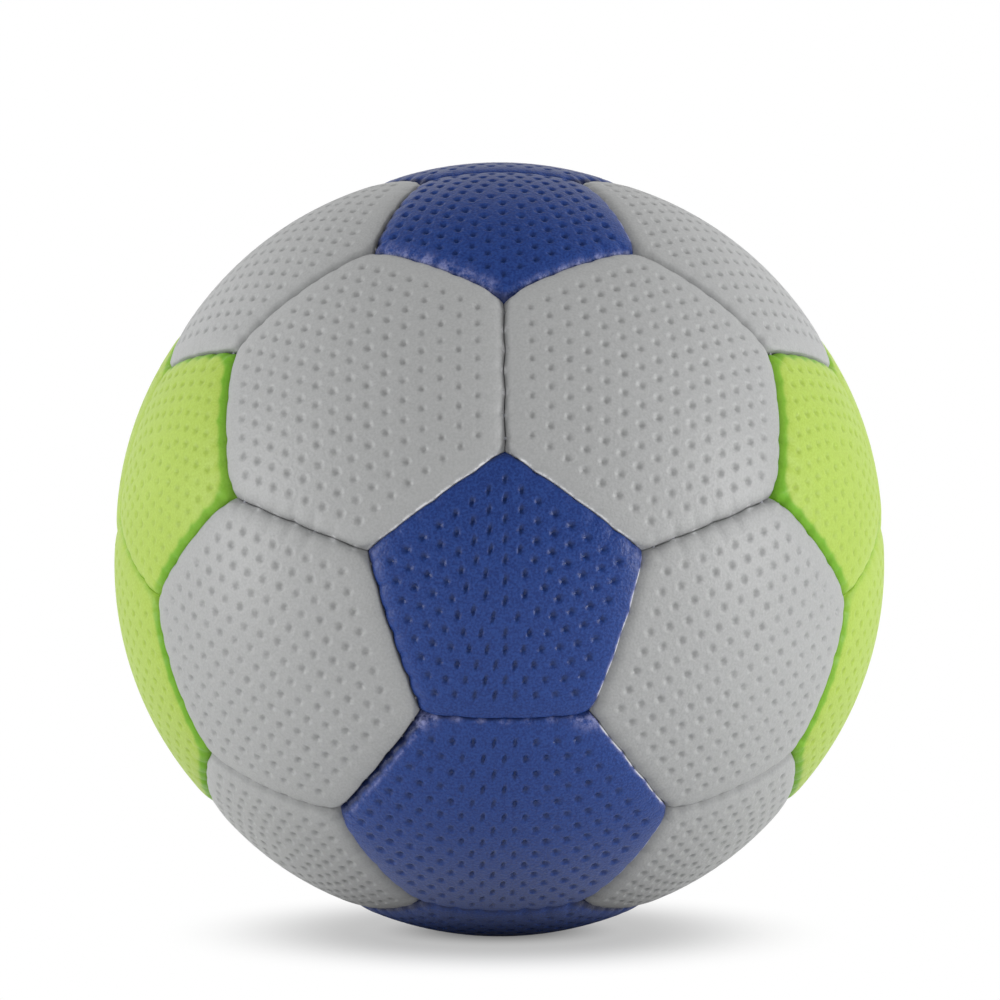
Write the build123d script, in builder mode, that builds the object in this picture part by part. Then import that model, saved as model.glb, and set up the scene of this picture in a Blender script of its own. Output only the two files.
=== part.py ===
from build123d import *
from itertools import combinations
from math import cos, pi, radians, sin, sqrt
import os

# A hand-stitched ball of 12 pentagon and 20 hexagon panels round an air bladder.
# Millimetres. The origin is the ball's centre, +Z is up and the front faces -Y.

# Driving dimensions of the ball and of its layers, from the outside in
ball_diameter = 175.0
lie_angle = 25.0  # tilt of the seam between the two upper front hexagons, up from the front
seam_drop = 0.8  # how far a panel's shoulder at a seam lies below its crown
edge_round = 2.5  # where a panel turns down into a seam, and at its corners
cover_skin = 1.2
foam_thickness = 3.5
lining_thickness = 0.8
bladder_wall = 1.0
glue_gap = 0.1  # glue line between cover, foam and lining
seam_gap = 0.1  # between the two flanges that a seam draws together
bladder_clearance = 0.2

# Driving dimensions of the sewn seams
thread_diameter = 0.8
thread_clearance = 0.1  # round the thread in its holes, and beside flange and foam
thread_bend = 0.6  # radius of the thread's centre line where it turns into a hole
stitch_pitch = 4.8  # the longest step from hole to hole
stitch_margin = 2.7  # from a seam's corner to its first hole

# Driving dimensions of the valve
neck_diameter = 7.6
neck_clearance = 0.2  # between the neck and the holes that it passes
neck_recess = 0.4  # how far the neck ends below the panel's crown
collar_diameter = 24.0  # the housing's collar, bonded to the inside of the bladder
collar_thickness = 1.2
barrel_diameter = 9.6
barrel_length = 9.0  # from the inside of the bladder to the barrel's end
core_diameter = 4.4
core_head_diameter = 5.6
core_head_thickness = 1.5
core_clearance = 0.05
core_end_gap = 1.5  # how far the core ends short of the barrel's end
needle_bore_diameter = 2.6
needle_bore_depth = 7.0
needle_lead_in = 0.5  # chamfer at the mouth of the needle bore
slit_width = 1.8
slit_gap = 0.2

golden = (1 + sqrt(5)) / 2
side_words = {-1: "left_", 0: "", 1: "right_"}
side_count = {"pentagon": 5, "hexagon": 6}
valve_panel = "blue_hexagon_top"

# Each family of panels: its finish, its shape, the sizes of the three coordinates of
# its centres along the pattern's axes, and the place on the ball that the signs of the
# second and third coordinates give.
panel_families = (
    ("blue", "pentagon", (0, 1, golden),
     {(-1, 1): "front", (1, 1): "upper_front", (1, -1): "back", (-1, -1): "lower_back"}),
    ("blue", "hexagon", (0, golden, 1 / golden),
     {(1, 1): "top", (1, -1): "upper_back", (-1, -1): "bottom", (-1, 1): "lower_front"}),
    ("green", "pentagon", (golden, 0, 1),
     {(0, 1): "upper_front", (0, -1): "lower_back"}),
    ("green", "hexagon", (golden, 1 / golden, 0),
     {(1, 0): "upper_back", (-1, 0): "lower_front"}),
    ("grey", "pentagon", (1, golden, 0),
     {(1, 0): "upper_back", (-1, 0): "lower_front"}),
    ("grey", "hexagon", (1 / golden, 0, golden),
     {(0, 1): "upper_front", (0, -1): "lower_back"}),
    ("grey", "hexagon", (1, 1, 1),
     {(-1, 1): "front", (1, 1): "top", (1, -1): "back", (-1, -1): "bottom"}),
)

# Radii of the layers about the ball's centre
ball_radius = ball_diameter / 2
shoulder_radius = ball_radius - seam_drop
foam_bottom = ball_radius - cover_skin - glue_gap - foam_thickness
lining_top = foam_bottom - glue_gap
lining_bottom = lining_top - lining_thickness
bladder_radius = lining_bottom - bladder_clearance
bladder_inside = bladder_radius - bladder_wall

# Distances from a seam's plane
cover_inset = seam_gap / 2
pocket_inset = cover_inset + cover_skin
thread_offset = pocket_inset + thread_clearance + thread_diameter / 2
foam_inset = thread_offset + thread_diameter / 2 + thread_clearance

# A flange keeps a flat strip two stitch holes high below its round, with the holes midway
stitch_hole_diameter = thread_diameter + 2 * thread_clearance
flange_strip = 2 * stitch_hole_diameter
shoulder_round = min(edge_round, shoulder_radius - lining_bottom - flange_strip)
pocket_round = shoulder_round - cover_skin
stitch_radius = (shoulder_radius - shoulder_round + lining_bottom) / 2

# The pattern's axes: across the ball, and up and forward in its mirror plane
pattern_axes = (
    Vector(1, 0, 0),
    Vector(0, sin(radians(lie_angle)), cos(radians(lie_angle))),
    Vector(0, -cos(radians(lie_angle)), sin(radians(lie_angle))),
)


# The direction from the ball's centre that three coordinates along the pattern's axes give
def on_ball(coordinates):
    steps = [axis * size for axis, size in zip(pattern_axes, coordinates)]
    return (steps[0] + steps[1] + steps[2]).normalized()


# The pairs of directions that stand closest together
def closest_pairs(directions):
    angles = {pair: pair[0].get_angle(pair[1]) for pair in combinations(directions, 2)}
    limit = min(angles.values()) * 1.01
    return [pair for pair, angle in angles.items() if angle < limit]


# Panel centres by name, each with its shape
panels = {}
for finish, shape, sizes, places in panel_families:
    for (second, third), place in places.items():
        for side in (-1, 1) if sizes[0] else (0,):
            name = f"{finish}_{shape}_{side_words[side]}{place}"
            signed = (side * sizes[0], second * sizes[1], third * sizes[2])
            panels[name] = (shape, on_ball(signed))

# Corners lie at the thirds of the lines between neighbouring pentagons, and a seam
# joins each corner to the corners next to it.
pentagon_centres = [centre for shape, centre in panels.values() if shape == "pentagon"]
corners = []
for one, other in closest_pairs(pentagon_centres):
    corners.append((one * 2 + other).normalized())
    corners.append((one + other * 2).normalized())
seams = closest_pairs(corners)


# The plane through the ball's centre that looks out along a direction, with its x axis
# towards a second direction
def facing_plane(outward, sideways):
    along = sideways - outward * sideways.dot(outward)
    return Plane((0, 0, 0), x_dir=along, z_dir=outward)


panel_planes = {}
for name, (shape, centre) in panels.items():
    corner = min(corners, key=centre.get_angle)
    panel_planes[name] = facing_plane(centre, corner)
seam_planes = [facing_plane((one + other).normalized(), other) for one, other in seams]

# Seams beside a pentagon, and seams between two hexagons
pentagon_reach = min(pentagon_centres[0].get_angle(plane.z_dir) for plane in seam_planes)
pentagon_seams = []
hexagon_seams = []
for plane in seam_planes:
    nearest = min(centre.get_angle(plane.z_dir) for centre in pentagon_centres)
    beside_pentagon = nearest < pentagon_reach * 1.01
    (pentagon_seams if beside_pentagon else hexagon_seams).append(plane)

# The angle at the ball's centre between a panel's middle and the middle of its seams,
# and the angle that one seam spans
seam_slope = {}
for shape, centre in panels.values():
    seam_slope[shape] = radians(min(centre.get_angle(plane.z_dir) for plane in seam_planes))
seam_span = radians(seams[0][0].get_angle(seams[0][1]))

# The seams of a panel in its own plane, with the panel's middle along z
def own_seam_planes(shape):
    planes = []
    slope = seam_slope[shape]
    for index in range(side_count[shape]):
        turn = (index + 0.5) * 2 * pi / side_count[shape]
        middle = Vector(sin(slope) * cos(turn), sin(slope) * sin(turn), cos(slope))
        planes.append(Plane((0, 0, 0), x_dir=(-sin(turn), cos(turn), 0), z_dir=middle))
    return planes


# A crown is a sphere that touches the ball at a panel's middle and drops to the shoulder
# at its seams: the height of its centre follows from those two points.
def crown_height(shape):
    shoulder_level = shoulder_radius * cos(seam_slope[shape])
    return (ball_radius**2 - shoulder_radius**2) / (2 * (ball_radius - shoulder_level))


# The part of a layer that lies within a panel's seam planes, each moved in by the inset:
# the layer reaches from an inner sphere about the ball's centre to an outer one
def wedge(shape, inset, inner_radius, outer_radius, outer_height=0.0):
    with BuildPart() as cut:
        with Locations((0, 0, outer_height)):
            Sphere(outer_radius, rotation=(90, 0, 0))
        for seam in own_seam_planes(shape):
            border = Plane(seam.y_dir * inset, z_dir=-seam.y_dir)
            split(bisect_by=border, keep=Keep.BOTTOM)
        Sphere(inner_radius, rotation=(90, 0, 0), mode=Mode.SUBTRACT)
    return cut.part


# A wedge up to a panel's crown, or some depth below it, with its upper and upright edges rounded
def crowned_wedge(shape, inset, inner_radius, depth, rounding):
    height = crown_height(shape)
    plain = wedge(shape, inset, inner_radius, ball_radius - height - depth, height)
    with BuildPart() as crowned:
        add(plain)
        if rounding > 0:
            upper = crowned.faces().filter_by(GeomType.SPHERE).sort_by(Axis.Z)[-1].edges()
            upright = crowned.edges().filter_by(GeomType.LINE)
            fillet(upper + upright, rounding)
    return crowned.part


# Stitches: evenly spaced angles along a seam, seen from the ball's centre
stitch_reach = seam_span - 2 * stitch_margin / stitch_radius
stitch_steps = int(stitch_reach * stitch_radius / stitch_pitch) + 1
stitch_angles = [stitch_reach * (step / stitch_steps - 0.5) for step in range(stitch_steps + 1)]

# The holes of one seam, through both flanges, in the seam's plane
with BuildPart() as stitch_holes:
    for angle in stitch_angles:
        spot = (stitch_radius * sin(angle), 0, stitch_radius * cos(angle))
        with Locations(spot):
            Cylinder(stitch_hole_diameter / 2, 2 * foam_inset, rotation=(90, 0, 0))

# The thread of one seam passes to and fro through the holes and runs behind the flanges
thread_points = []
for index, angle in enumerate(stitch_angles):
    entry = -thread_offset if index % 2 == 0 else thread_offset
    for across in (entry, -entry):
        thread_points.append((stitch_radius * sin(angle), across, stitch_radius * cos(angle)))
with BuildPart() as seam_thread:
    with BuildLine() as thread_path:
        FilletPolyline(*thread_points, radius=thread_bend)
    with BuildSketch(Plane(thread_path.line @ 0, z_dir=thread_path.line % 0)):
        Circle(thread_diameter / 2)
    sweep(path=thread_path.line)


# A cover panel: a crowned tray whose flanges turn down into the seams, with stitch holes
def cover_panel(shape):
    shell = crowned_wedge(shape, cover_inset, lining_bottom, 0, shoulder_round)
    pocket = crowned_wedge(shape, pocket_inset, bladder_radius, cover_skin, pocket_round)
    with BuildPart() as cover:
        add(shell)
        add(pocket, mode=Mode.SUBTRACT)
        with Locations(*own_seam_planes(shape)):
            add(stitch_holes.part, mode=Mode.SUBTRACT)
    return cover.part


# A foam pad fills the tray down to the lining, clear of the thread behind the flanges
def foam_pad(shape):
    return crowned_wedge(shape, foam_inset, foam_bottom, cover_skin + glue_gap, pocket_round)


# A lining closes the tray behind the foam, level with the ends of the flanges
def cloth_lining(shape):
    return wedge(shape, foam_inset, lining_bottom, lining_top)


makers = {"cover": cover_panel, "foam_pad": foam_pad, "lining": cloth_lining}
layers = {}
for layer, maker in makers.items():
    layers[layer] = {shape: maker(shape) for shape in side_count}

# The valve in its own plane: z is the valve's axis and the ball's centre is at zero
neck_radius = neck_diameter / 2
neck_top = ball_radius - neck_recess
barrel_end = bladder_inside - barrel_length
core_end = barrel_end + core_end_gap
collar_top = bladder_inside - glue_gap
collar_bottom = collar_top - collar_thickness
head_bottom = neck_top - core_head_thickness
valve_plane = panel_planes[valve_panel]

with BuildPart() as neck_hole:
    Cylinder(
        neck_radius + neck_clearance,
        ball_radius,
        align=(Align.CENTER, Align.CENTER, Align.MIN),
    )

# The housing: a neck through the panel, a collar inside the bladder and a barrel
with BuildPart() as housing:
    Sphere(collar_top)
    Sphere(collar_bottom, mode=Mode.SUBTRACT)
    with BuildSketch():
        Circle(collar_diameter / 2)
    extrude(amount=ball_radius, mode=Mode.INTERSECT)
    with BuildSketch(Plane.XY.offset(barrel_end)):
        Circle(barrel_diameter / 2)
    extrude(amount=collar_bottom + collar_thickness / 2 - barrel_end)
    with BuildSketch(Plane.XY.offset(collar_bottom)):
        Circle(neck_radius)
    extrude(amount=neck_top - collar_bottom)
    with Locations((0, 0, neck_top)):
        CounterBoreHole(
            core_diameter / 2 + core_clearance,
            core_head_diameter / 2 + core_clearance,
            core_head_thickness + core_clearance,
        )

# The core: a headed plug with a blind guide hole for the needle and a slit at its foot
with BuildPart() as core:
    with BuildSketch(Plane.XY.offset(core_end)):
        Circle(core_diameter / 2)
    extrude(amount=head_bottom - core_end)
    with BuildSketch(Plane.XY.offset(head_bottom)):
        Circle(core_head_diameter / 2)
    extrude(amount=core_head_thickness)
    with Locations((0, 0, neck_top)):
        CounterSinkHole(
            needle_bore_diameter / 2,
            needle_bore_diameter / 2 + needle_lead_in,
            depth=needle_bore_depth,
            counter_sink_angle=90,
        )
    with BuildSketch(Plane.XY.offset(core_end)):
        Rectangle(slit_width, slit_gap)
    extrude(amount=neck_top - needle_bore_depth - core_end, mode=Mode.SUBTRACT)

pieces = {}

# Cover panels, one node each
for name, (shape, centre) in panels.items():
    with BuildPart() as panel:
        with Locations(panel_planes[name]):
            add(layers["cover"][shape])
            if name == valve_panel:
                add(neck_hole.part, mode=Mode.SUBTRACT)
    pieces[name] = panel.part

# Foam pads and linings: the valve's own, and one group for each shape
for layer, plural in (("foam_pad", "foam_pads"), ("lining", "linings")):
    with BuildPart() as valve_layer:
        with Locations(valve_plane):
            add(layers[layer][panels[valve_panel][0]])
            add(neck_hole.part, mode=Mode.SUBTRACT)
    pieces[f"valve_{layer}"] = valve_layer.part
    for shape in side_count:
        spots = [
            plane
            for name, plane in panel_planes.items()
            if panels[name][0] == shape and name != valve_panel
        ]
        with BuildPart() as group:
            with Locations(*spots):
                add(layers[layer][shape])
        pieces[f"{shape}_{plural}"] = group.part

# Threads: one for each seam, in two groups
for name, spots in (("pentagon_seams", pentagon_seams), ("hexagon_seams", hexagon_seams)):
    with BuildPart() as group:
        with Locations(*spots):
            add(seam_thread.part)
    pieces[f"{name}_thread"] = group.part

# The bladder: a hollow sphere with a hole for the valve's neck
with BuildPart() as bladder:
    Sphere(bladder_radius)
    Sphere(bladder_inside, mode=Mode.SUBTRACT)
    with Locations(valve_plane):
        add(neck_hole.part, mode=Mode.SUBTRACT)
pieces["bladder"] = bladder.part

for name, valve_piece in (("valve_housing", housing), ("valve_core", core)):
    with BuildPart() as placed:
        with Locations(valve_plane):
            add(valve_piece.part)
    pieces[name] = placed.part

os.makedirs("parts", exist_ok=True)
for name, piece in pieces.items():
    piece.label = name
    export_step(piece, f"parts/{name}.step")

print(f"circumference {pi * ball_diameter:.0f} mm, {len(panels)} panels, {len(seams)} seams")
print(f"{len(stitch_angles)} stitches to a seam, {stitch_reach * stitch_radius / stitch_steps:.2f} mm apart")
print(f"valve axis {tuple(round(size, 4) for size in valve_plane.z_dir)}")
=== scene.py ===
import math

import bpy
import numpy as np
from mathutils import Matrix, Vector


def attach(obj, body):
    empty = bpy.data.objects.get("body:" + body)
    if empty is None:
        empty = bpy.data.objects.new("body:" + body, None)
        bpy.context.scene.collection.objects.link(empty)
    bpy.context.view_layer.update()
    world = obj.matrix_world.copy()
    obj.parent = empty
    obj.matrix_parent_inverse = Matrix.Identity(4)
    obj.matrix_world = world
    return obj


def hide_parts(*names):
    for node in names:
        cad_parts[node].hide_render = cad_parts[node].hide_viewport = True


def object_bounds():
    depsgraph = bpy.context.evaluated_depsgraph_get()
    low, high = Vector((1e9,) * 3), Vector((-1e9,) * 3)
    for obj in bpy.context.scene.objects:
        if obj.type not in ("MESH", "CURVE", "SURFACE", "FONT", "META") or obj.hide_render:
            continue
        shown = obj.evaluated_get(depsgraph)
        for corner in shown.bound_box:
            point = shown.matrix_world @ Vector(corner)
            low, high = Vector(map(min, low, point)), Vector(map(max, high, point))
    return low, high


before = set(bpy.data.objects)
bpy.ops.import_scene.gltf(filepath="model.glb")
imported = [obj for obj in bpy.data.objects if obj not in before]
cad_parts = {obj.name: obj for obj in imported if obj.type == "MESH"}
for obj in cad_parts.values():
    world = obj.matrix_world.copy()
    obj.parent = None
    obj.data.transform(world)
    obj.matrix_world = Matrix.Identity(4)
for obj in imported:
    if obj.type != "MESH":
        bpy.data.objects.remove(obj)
cadLow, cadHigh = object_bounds()
scene = bpy.context.scene
scene.view_settings.view_transform = "Standard"
mm = 0.001

# Sizes that the pieces share with the CAD part, in millimetres and degrees
ball = dict(
    radius=87.5,
    lieAngle=25.0,  # tilt of the seam between the two upper front hexagons
    seamDrop=0.8,  # a panel's shoulder lies this far below its crown
    skin=1.2,
    flangeEnd=81.8,  # radius at which the turned-in edges end
    seamInset=0.06,  # half of the gap in a seam
    stitchRadius=83.0,
    stitchMargin=2.7,
    stitches=7,
    valveHole=4.0,
)
radius = ball["radius"]
golden = (1 + math.sqrt(5)) / 2
sideCount = {"pentagon": 5, "hexagon": 6}
valvePanel = "blue_hexagon_top"


def unit(vectors):
    return vectors / np.linalg.norm(vectors, axis=-1, keepdims=True)


# The layout of the 32 panels: finish, shape, sizes of the three coordinates of the centres,
# and the place that the signs of the second and third coordinates give
lie = math.radians(ball["lieAngle"])
patternAxes = np.array([
    [1, 0, 0],
    [0, math.sin(lie), math.cos(lie)],
    [0, -math.cos(lie), math.sin(lie)],
])
panelFamilies = [
    ("blue", "pentagon", (0, 1, golden),
     {(-1, 1): "front", (1, 1): "upper_front", (1, -1): "back", (-1, -1): "lower_back"}),
    ("blue", "hexagon", (0, golden, 1 / golden),
     {(1, 1): "top", (1, -1): "upper_back", (-1, -1): "bottom", (-1, 1): "lower_front"}),
    ("green", "pentagon", (golden, 0, 1), {(0, 1): "upper_front", (0, -1): "lower_back"}),
    ("green", "hexagon", (golden, 1 / golden, 0), {(1, 0): "upper_back", (-1, 0): "lower_front"}),
    ("grey", "pentagon", (1, golden, 0), {(1, 0): "upper_back", (-1, 0): "lower_front"}),
    ("grey", "hexagon", (1 / golden, 0, golden), {(0, 1): "upper_front", (0, -1): "lower_back"}),
    ("grey", "hexagon", (1, 1, 1),
     {(-1, 1): "front", (1, 1): "top", (1, -1): "back", (-1, -1): "bottom"}),
]
sideWords = {-1: "left_", 0: "", 1: "right_"}
panels = {}
for finish, shape, sizes, places in panelFamilies:
    for (second, third), place in places.items():
        for side in (-1, 1) if sizes[0] else (0,):
            signed = np.array([side * sizes[0], second * sizes[1], third * sizes[2]])
            name = f"{finish}_{shape}_{sideWords[side]}{place}"
            panels[name] = dict(finish=finish, shape=shape, centre=unit(signed @ patternAxes))
panelNames = list(panels)
panelCentres = np.array([panels[name]["centre"] for name in panelNames])


# Index pairs of the directions that stand closest together: the largest dot products
def closestPairs(directions):
    dots = directions @ directions.T - 2 * np.eye(len(directions))
    first, second = np.nonzero(dots > dots.max() - 1e-6)
    return first, second


# Corners lie at the thirds of the lines between neighbouring pentagons, seams between corners
pentagonCentres = np.array([p["centre"] for p in panels.values() if p["shape"] == "pentagon"])
first, second = closestPairs(pentagonCentres)
corners = unit(2 * pentagonCentres[first] + pentagonCentres[second])
first, second = closestPairs(corners)
once = first < second
seamStarts, seamEnds = corners[first[once]], corners[second[once]]
seamMiddles = unit(seamStarts + seamEnds)
seamSpan = math.acos(float(np.sum(seamStarts[0] * seamEnds[0])))
seamSlope = {}
for shape in sideCount:
    centre = next(p["centre"] for p in panels.values() if p["shape"] == shape)
    seamSlope[shape] = math.acos(float(np.max(seamMiddles @ centre)))
stitchReach = seamSpan - 2 * ball["stitchMargin"] / ball["stitchRadius"]
stitchAngles = stitchReach * (np.arange(ball["stitches"]) / (ball["stitches"] - 1) - 0.5)
print("layout:", len(panels), "panels,", len(seamStarts), "seams")


# Puts points (metres) and triangles into a new mesh object, shaded smooth, with point attributes
def meshPiece(name, points, triangles, attributes=()):
    mesh = bpy.data.meshes.new(name)
    mesh.vertices.add(len(points))
    mesh.loops.add(triangles.size)
    mesh.polygons.add(len(triangles))
    mesh.vertices.foreach_set("co", points.astype(np.float32).ravel())
    mesh.loops.foreach_set("vertex_index", triangles.astype(np.int32).ravel())
    mesh.polygons.foreach_set("loop_start", np.arange(0, triangles.size, 3, dtype=np.int32))
    mesh.polygons.foreach_set("use_smooth", np.ones(len(triangles), bool))
    for label, values in dict(attributes).items():
        layer = mesh.attributes.new(label, "FLOAT", "POINT")
        layer.data.foreach_set("value", values.astype(np.float32))
    mesh.update(calc_edges=True)
    mesh.validate()
    piece = bpy.data.objects.new(name, mesh)
    scene.collection.objects.link(piece)
    return piece


# Triangles between neighbouring rings of equally many points, outer ring first
def stripTriangles(rings):
    here, below = rings[:-1], rings[1:]
    hereNext, belowNext = np.roll(here, -1, axis=1), np.roll(below, -1, axis=1)
    upper = np.stack([here, below, hereNext], axis=-1)
    lower = np.stack([hereNext, below, belowNext], axis=-1)
    return np.concatenate([upper.reshape(-1, 3), lower.reshape(-1, 3)])


# A panel's moulding, in millimetres. Pits stand on rings parallel to the panel's own edges.
panelForm = {
    "hexagon": dict(ringStep=3.77, rings=7, pitPitch=4.35, rowsPerRing=11, rimRows=15),
    "pentagon": dict(ringStep=3.32, rings=6, pitPitch=3.95, rowsPerRing=10, rimRows=15),
}
panelDetail = dict(
    pitRadius=1.14,
    pitDepth=0.62,
    ridgeHeight=0.03,  # the raised rim round a pit
    ridgeWidth=0.7,  # as a share of the pit's radius
    puffWidth=4.8,  # how far in from the seam a panel starts to fall away
    puffDepth=0.7,
    rollWidth=2.1,  # the tighter turn down into the seam
    rollDepth=1.2,
    blend=1.2,  # how softly the styles of two edges meet at a corner
    cornerSoftness=0.8,  # larger makes sharper corners
    cornerPit=1.4,  # extra drop for each mm of corner rounding
    rimGrading=1.5,  # rows lie closer together towards the seam
    puckerDepth=0.55,
    puckerWidth=1.0,
    puckerReach=1.9,
    puckerSpread=(0.4, 1.5),  # stitches differ between these shares
    scallop=0.5,  # stitches draw the painted shade on an edge's flank this much further in
    swayDepth=0.26,  # stitches draw the seam a little to one side and the other
    swayWidth=1.5,
    swayReach=2.2,
    swaySpread=(0.2, 1.1),
    lipDepth=0.35,  # how the panel dips at the valve's hole
    lipReach=0.9,
)
pitShares = dict(blue=1.0, green=0.6, grey=1.0)  # the green leather is pressed less deeply
# How wide the painted shade on an edge's flank is, by leather
flankShadeShares = dict(blue=0.8, green=1.2, grey=1.0)


# Turn of a panel's seams about its middle: the middles of equal sectors
def seamTurn(shape, sector):
    return (sector + 0.5) * 2 * math.pi / sideCount[shape]


# Smooth run from 0 to 1
def ease(share):
    share = np.clip(share, 0, 1)
    return share * share * (3 - 2 * share)


# The flat grid of a panel: a middle point, then row i with i points to a side, from corner to
# corner. Heights are arcs from the middle towards a seam, and a row is straight seen from the
# ball's centre (a gnomonic map), so the last row lies on the seams.
def panelGrid(shape):
    form, sides = panelForm[shape], sideCount[shape]
    inner = form["ringStep"] * np.arange(1, form["rings"] * form["rowsPerRing"] + 1) / form["rowsPerRing"]
    seamArc = radius * seamSlope[shape] - ball["seamInset"]
    left = np.linspace(1, 0, form["rimRows"] + 1)[1:] ** panelDetail["rimGrading"]
    heights = np.concatenate([inner, seamArc - (seamArc - inner[-1]) * left])
    rows = len(heights)
    row = np.repeat(np.arange(1, rows + 1), sides * np.arange(1, rows + 1))
    around = np.arange(len(row)) - sides * row * (row - 1) // 2
    sector, step = around // row, around % row

    # Number of the point at a row, sector and step, counted from the middle outwards
    def number(row, sector, step):
        ring = np.maximum(row, 1)
        turn = (sector * row + step) % (sides * ring)
        return np.where(row == 0, 0, 1 + sides * row * (row - 1) // 2 + turn)

    outward = np.stack([number(row, sector, step), number(row, sector, step + 1),
                        number(row - 1, sector, step)], axis=-1)
    some = step < row - 1
    inward = np.stack([number(row - 1, sector, step), number(row, sector, step + 1),
                       number(row - 1, sector, step + 1)], axis=-1)[some]
    arc = np.concatenate([[0.0], heights[row - 1]])
    share = np.concatenate([[0.5], step / row])
    return dict(
        shape=shape,
        rows=rows,
        row=np.concatenate([[0], row]),
        sector=np.concatenate([[0], sector]),
        arc=arc,
        rise=np.tan(arc / radius),
        along=np.tan(arc / radius) * math.tan(math.pi / sides) * (2 * share - 1),
        triangles=np.concatenate([outward, inward]),
        edge=1 + sides * rows * (rows - 1) // 2 + np.arange(sides * rows),
    )


# A grid with a round hole in its middle: the rows inside the hole go, the first row left is drawn
# to a circle, and the next rows ease back to straight sides
def holedGrid(grid, hole):
    sides = sideCount[grid["shape"]]
    firstRow = int(grid["row"][np.argmax(grid["arc"] >= hole)])
    gone = 1 + sides * firstRow * (firstRow - 1) // 2
    kept = dict(grid, triangles=grid["triangles"][grid["triangles"].min(axis=1) >= gone] - gone)
    for key in ("row", "sector", "arc", "rise", "along"):
        kept[key] = grid[key][gone:]
    kept["edge"] = grid["edge"] - gone
    kept["lip"] = np.arange(sides * firstRow)
    kept["arc"] = np.where(kept["row"] == firstRow, hole, kept["arc"])
    stretch = np.tan(kept["arc"] / radius) / kept["rise"]
    kept["rise"], kept["along"] = kept["rise"] * stretch, kept["along"] * stretch
    straight = ease((kept["arc"] - hole) / hole)
    circle = kept["rise"] / np.hypot(kept["rise"], kept["along"])
    pull = circle + (1 - circle) * straight
    kept["rise"], kept["along"] = kept["rise"] * pull, kept["along"] * pull
    return kept


# Some pits are pressed deeper than others
pitDraws = dict(seed=7, low=0.85, high=1.15, count=1024, perRing=64)
pitRandom = np.random.default_rng(pitDraws["seed"])
pitStrengths = pitRandom.uniform(pitDraws["low"], pitDraws["high"], pitDraws["count"])

# Panels with an upright crease, where the pits are drawn to slanting slits: shares of the pit's own
# sizes, then the crease's place to the right of the panel's middle and its width in mm
slitPits = dict(narrower=0.9, longer=0.35, slant=0.2, deeper=0.25)
creasedPanels = dict(
    blue_pentagon_front=dict(slitPits, place=-2.5, width=8.0),
    blue_hexagon_lower_front=dict(slitPits, place=-2.5, width=7.0),
)


# Rotation from a panel's own axes to the ball: out along its centre, x towards a corner
def panelAxes(centre):
    corner = corners[np.argmax(corners @ centre)]
    across = unit(corner - centre * (corner @ centre))
    return np.stack([across, np.cross(centre, across), centre])


# Depth share of the moulded pits and height share of their rims. The nearest ring is the rounded
# height over the ring step, and along its side the pits stand evenly from corner to corner.
# With d the distance over the pit's radius, a pit is (1 - d^2)^2 and its rim is sine squared.
# In a crease, d counts the level part of the distance for more and the upright part for less.
def pitField(grid, crease=None, axes=None):
    form, sides = panelForm[grid["shape"]], sideCount[grid["shape"]]
    across = radius * np.arctan(grid["along"] / np.sqrt(1 + grid["rise"] ** 2))
    ring = np.clip(np.round(grid["arc"] / form["ringStep"]), 0, form["rings"])
    ringRise = np.tan(ring * form["ringStep"] / radius)
    half = radius * np.arctan(ringRise * math.tan(math.pi / sides) / np.sqrt(1 + ringRise ** 2))
    intervals = np.maximum(np.round(2 * half / form["pitPitch"]), 1)
    pitch = np.maximum(2 * half / intervals, 1e-6)
    index = np.clip(np.round((across + half) / pitch), 0, intervals)
    place = (grid["sector"] * intervals + index) % (sides * intervals)
    strength = pitStrengths[(pitDraws["perRing"] * ring + place).astype(int)]
    outward, sideways = grid["arc"] - ring * form["ringStep"], across + half - pitch * index
    if crease:
        turn = seamTurn(grid["shape"], grid["sector"]) - math.atan2(axes[1][0], axes[0][0])
        level = outward * np.cos(turn) - sideways * np.sin(turn)
        upright = outward * np.sin(turn) + sideways * np.cos(turn)
        side = radius * (grid["rise"] * np.cos(turn) - grid["along"] * np.sin(turn))
        near = np.exp(-((side - crease["place"]) / crease["width"]) ** 2)
        outward = (level - crease["slant"] * near * upright) * (1 + crease["narrower"] * near)
        sideways = upright * (1 - crease["longer"] * near)
        strength = strength * (1 + crease["deeper"] * near)
    away = np.hypot(outward, sideways) / panelDetail["pitRadius"]
    hollow = (1 - np.minimum(away, 1) ** 2) ** 2
    ridge = np.sin(math.pi * np.clip((away - 1) / panelDetail["ridgeWidth"], 0, 1)) ** 2
    return strength * hollow, strength * ridge


# Unit directions of gnomonic points, in a panel's own axes
def gnomonic(grid, scale=1.0):
    turn = seamTurn(grid["shape"], grid["sector"])
    across = scale * (grid["rise"] * np.cos(turn) - grid["along"] * np.sin(turn))
    up = scale * (grid["rise"] * np.sin(turn) + grid["along"] * np.cos(turn))
    return unit(np.stack([across, up, np.ones_like(up)], axis=-1))


# Radius of the plain crown: a sphere that touches the ball at the panel's middle and has
# dropped to the shoulder at the middle of its seams
def crownRadius(shape, directions):
    shoulder = radius - ball["seamDrop"]
    level = shoulder * math.cos(seamSlope[shape])
    lift = (radius ** 2 - shoulder ** 2) / (2 * (radius - level))
    rise = directions[:, 2]
    return lift * rise + np.sqrt((radius - lift) ** 2 - lift ** 2 * (1 - rise ** 2))


# Distance of directions from each seam plane of a panel, in mm on the ball
def seamDistances(shape, directions):
    slope, sides = seamSlope[shape], sideCount[shape]
    turns = seamTurn(shape, np.arange(sides))
    inward = np.stack([-math.cos(slope) * np.cos(turns), -math.cos(slope) * np.sin(turns),
                       np.full(sides, math.sin(slope))], axis=-1)
    return radius * directions @ inward.T


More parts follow.
